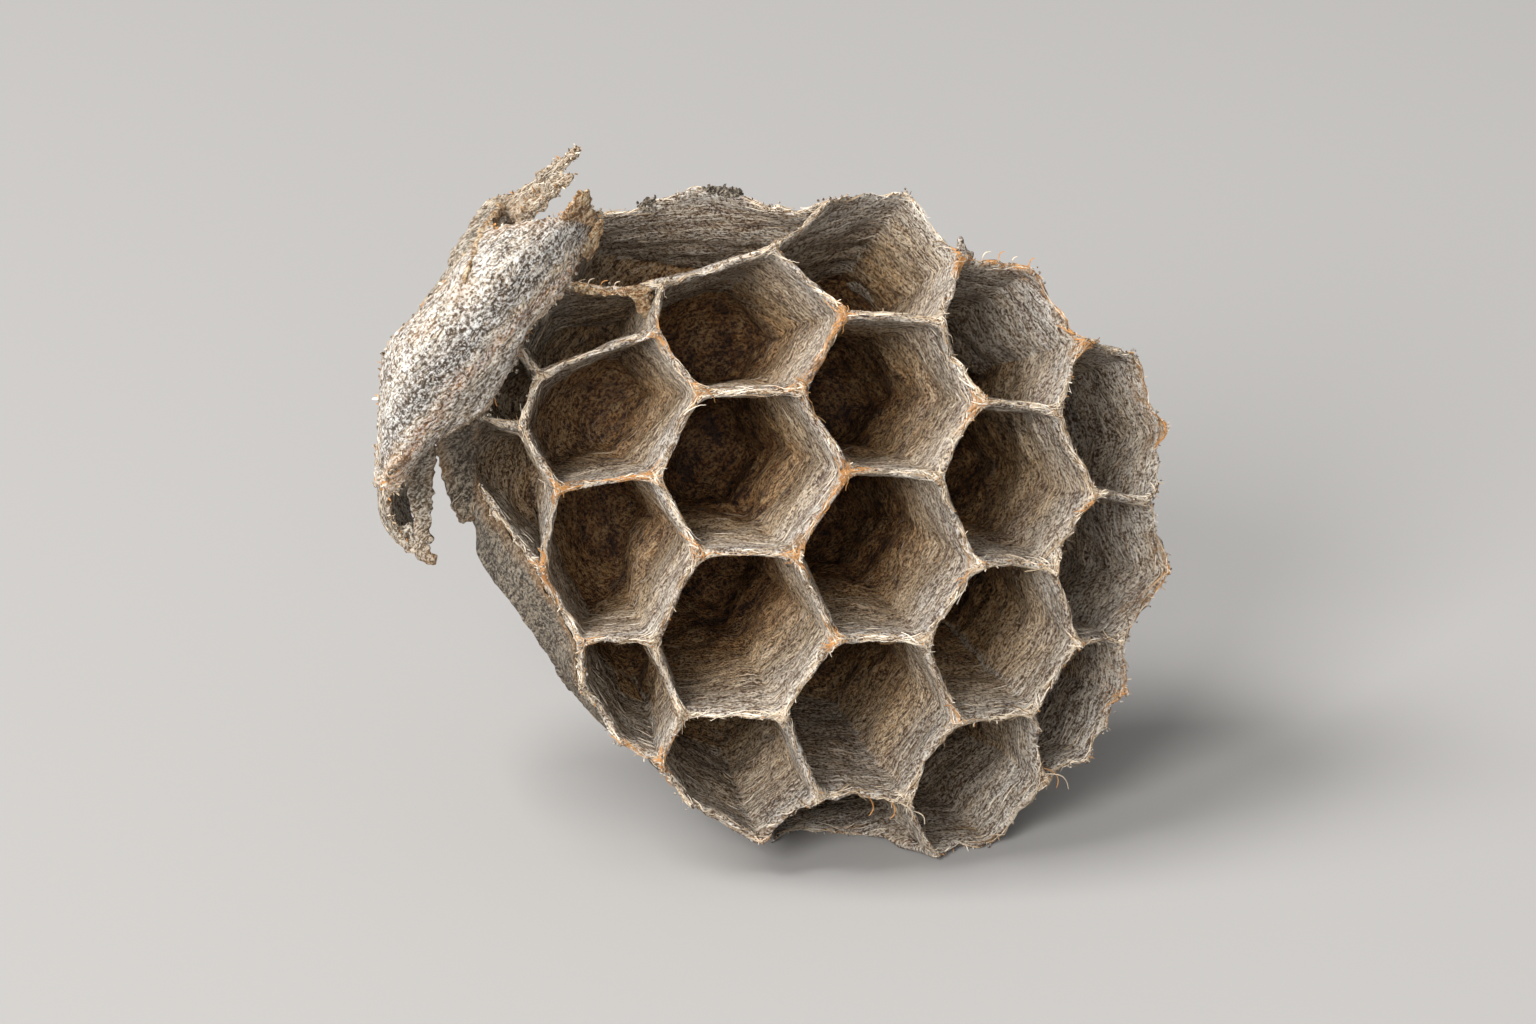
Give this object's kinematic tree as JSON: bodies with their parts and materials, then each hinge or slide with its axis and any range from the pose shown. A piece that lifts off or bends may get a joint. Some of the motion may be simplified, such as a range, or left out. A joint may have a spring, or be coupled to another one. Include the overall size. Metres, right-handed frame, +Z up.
{
  "type": "paper wasp nest",
  "caption": "Torn paper wasp nest lying on its side: a comb of open six-sided cells with torn sheets of grey paper envelope.",
  "frame": {"origin": "on the surface the nest lies on, under the middle of its bounding box", "axes": "+Z up, the mouths of the cells face -Y and lean back a little, +X to the right as seen from the mouths"},
  "size_m": [0.0354, 0.022, 0.0301],
  "materials": {
    "cell_paper": "matte",
    "envelope_paper": "matte"
  },
  "bodies": {
    "root": {"comb": "cell_paper", "envelope_front_sheet": "envelope_paper", "envelope_side_sheet": "envelope_paper", "envelope_lower_sheet": "envelope_paper", "envelope_top_sheet": "envelope_paper"}
  },
  "joints": []
}
